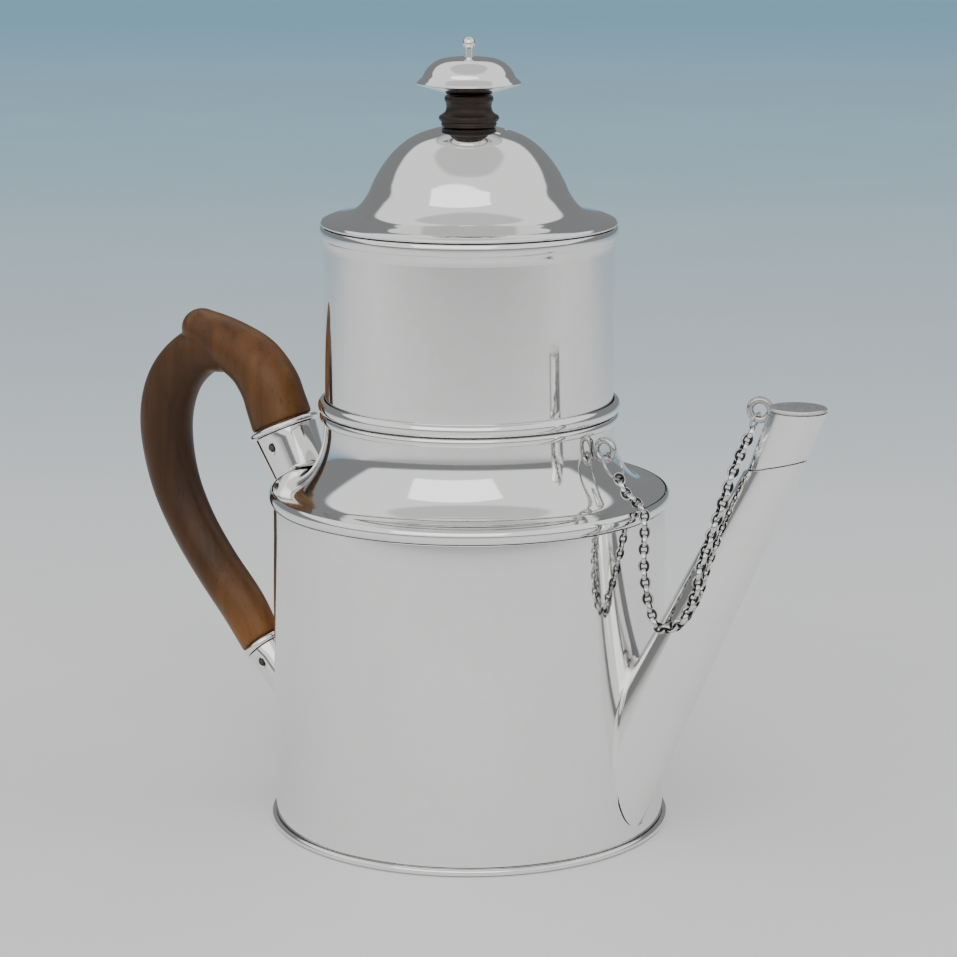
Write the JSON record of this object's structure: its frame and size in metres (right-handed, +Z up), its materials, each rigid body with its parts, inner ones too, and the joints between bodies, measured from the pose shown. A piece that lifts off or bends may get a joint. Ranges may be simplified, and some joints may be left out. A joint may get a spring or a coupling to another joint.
{
  "type": "silver drip coffee pot",
  "caption": "Straight-sided silver drip coffee pot with a lift-out upper section, domed lid, wooden handle and a chained cap on its conical spout.",
  "frame": {"origin": "middle of the pot's flat underside, on the pot's axis", "axes": "+Z up along the pot's axis, +X from the axis to the spout, handle at -X"},
  "size_m": [0.2331, 0.117, 0.2277],
  "materials": {
    "silver": "polished silver with fine wear",
    "handle_wood": "polished brown hardwood",
    "dark_wood": "polished near-black wood"
  },
  "bodies": {
    "pot": {"base_plate": "silver", "base_wire": "silver", "body_wall": "silver", "chain_neck_run": "silver", "handle": "handle_wood", "lower_socket": "silver", "lower_socket_pin": "silver", "lower_socket_rim": "silver", "neck_eye": "silver", "neck_jump_ring": "silver", "neck_rim_wire": "silver", "shoulder": "silver", "shoulder_bead": "silver", "spout_collar": "silver", "spout_tube": "silver", "upper_socket": "silver", "upper_socket_pin": "silver", "upper_socket_rim": "silver"},
    "upper_section": {"upper_wall": "silver", "upper_foot_bead": "silver", "upper_rim": "silver", "upper_sleeve": "silver", "strainer_plate": "silver"},
    "lid": {"lid_dome": "silver", "lid_bezel": "silver", "finial_spool": "dark_wood", "finial_button": "silver", "finial_bolt": "silver", "finial_nut": "silver"},
    "spout_cap": {"cap_sleeve": "silver", "cap_top": "silver", "cap_loop": "silver", "cap_jump_ring": "silver", "chain_cap_run": "silver"},
    "chain_1": {"chain_bend_run_1": "silver"},
    "chain_2": {"chain_bend_run_2": "silver"},
    "chain_3": {"chain_bend_run_3": "silver"},
    "chain_4": {"chain_bend_run_4": "silver"}
  },
  "joints": [
    {"name": "upper_lift", "type": "slide", "parent": "pot", "child": "upper_section", "axis": [0, 0, 1], "range_m": [0, 0.04]},
    {"name": "lid_lift", "type": "slide", "parent": "upper_section", "child": "lid", "axis": [0, 0, 1], "range_m": [0, 0.03]},
    {"name": "cap_slide", "type": "slide", "parent": "pot", "child": "spout_cap", "axis": [0.4478, 0, 0.8942], "range_m": [0, 0.01]},
    {"name": "chain_follow_1", "type": "slide", "parent": "pot", "child": "chain_1", "axis": [0.4478, 0, 0.8942], "range_m": [0, 0.001]},
    {"name": "chain_follow_2", "type": "slide", "parent": "pot", "child": "chain_2", "axis": [0.4478, 0, 0.8942], "range_m": [0, 0.003]},
    {"name": "chain_follow_3", "type": "slide", "parent": "pot", "child": "chain_3", "axis": [0.4478, 0, 0.8942], "range_m": [0, 0.0055]},
    {"name": "chain_follow_4", "type": "slide", "parent": "pot", "child": "chain_4", "axis": [0.4478, 0, 0.8942], "range_m": [0, 0.0085]}
  ],
  "couplings": [
    {"joint": "chain_follow_1", "follows": "cap_slide", "ratio": 0.1},
    {"joint": "chain_follow_2", "follows": "cap_slide", "ratio": 0.3},
    {"joint": "chain_follow_3", "follows": "cap_slide", "ratio": 0.55},
    {"joint": "chain_follow_4", "follows": "cap_slide", "ratio": 0.85}
  ]
}
